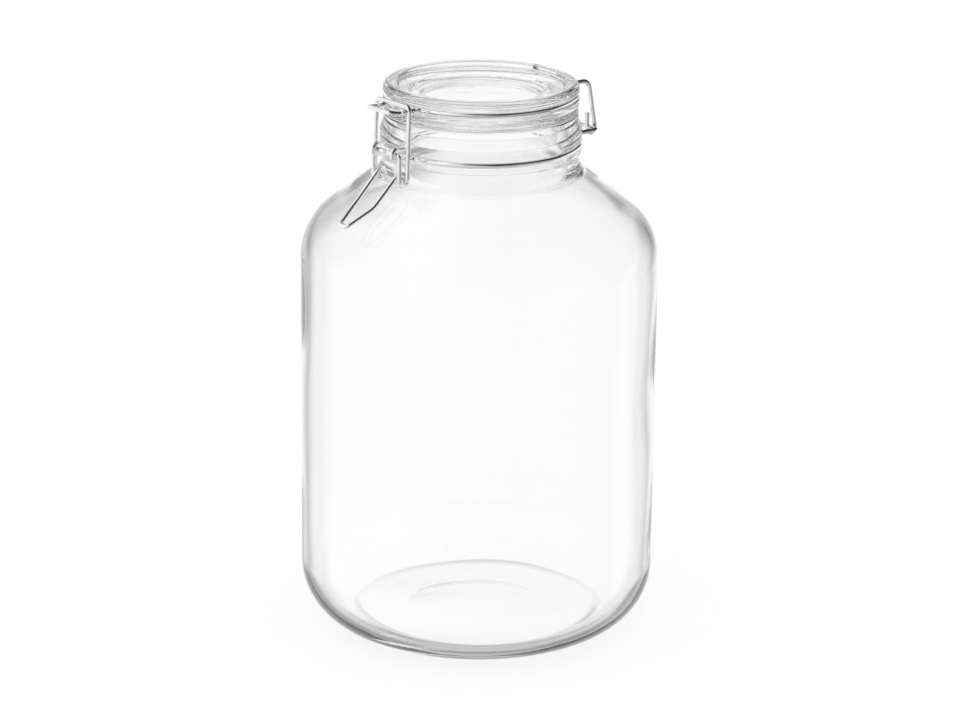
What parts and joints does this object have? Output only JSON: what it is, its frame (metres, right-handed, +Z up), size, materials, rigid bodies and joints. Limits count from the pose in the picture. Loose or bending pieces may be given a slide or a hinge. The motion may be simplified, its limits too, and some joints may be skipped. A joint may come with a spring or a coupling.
{
  "type": "lidded glass canister",
  "caption": "Round clear glass storage jar with a hinged glass lid, a clear rubber seal and a bent-wire lever clamp that pulls the lid down.",
  "frame": {"origin": "on the surface the jar stands on, under its axis", "axes": "+Z up along the jar's axis, the clamp towards -Y and the lid's hinge towards +Y"},
  "size_m": [0.182, 0.182, 0.2866],
  "materials": {
    "clear_glass": "clear soda-lime glass, fire polished, with faint mould lines and ripples",
    "clear_rubber": "translucent white silicone, satin",
    "bright_wire": "bright drawn steel wire with fine lines along it"
  },
  "bodies": {
    "jar": {"jar_body": "clear_glass", "neck_wire": "bright_wire"},
    "lid": {"lid": "clear_glass", "gasket": "clear_rubber", "lid_wire": "bright_wire"},
    "lever": {"lever": "bright_wire"},
    "bail": {"bail": "bright_wire"}
  },
  "joints": [
    {"name": "lever_pivot", "type": "hinge", "parent": "jar", "child": "lever", "pos_m": [0, -0.061, 0.2593], "axis": [-1, 0, 0], "range_deg": [0, 110]},
    {"name": "bail_pivot", "type": "hinge", "parent": "lever", "child": "bail", "pos_m": [0, -0.0581, 0.2463], "axis": [-1, 0, 0], "range_deg": [-110, 0]},
    {"name": "lid_hinge", "type": "hinge", "parent": "jar", "child": "lid", "pos_m": [0, 0.062, 0.2555], "axis": [-1, 0, 0], "range_deg": [0, 165]}
  ],
  "couplings": [
    {"joint": "bail_pivot", "follows": "lever_pivot", "ratio": -1}
  ]
}
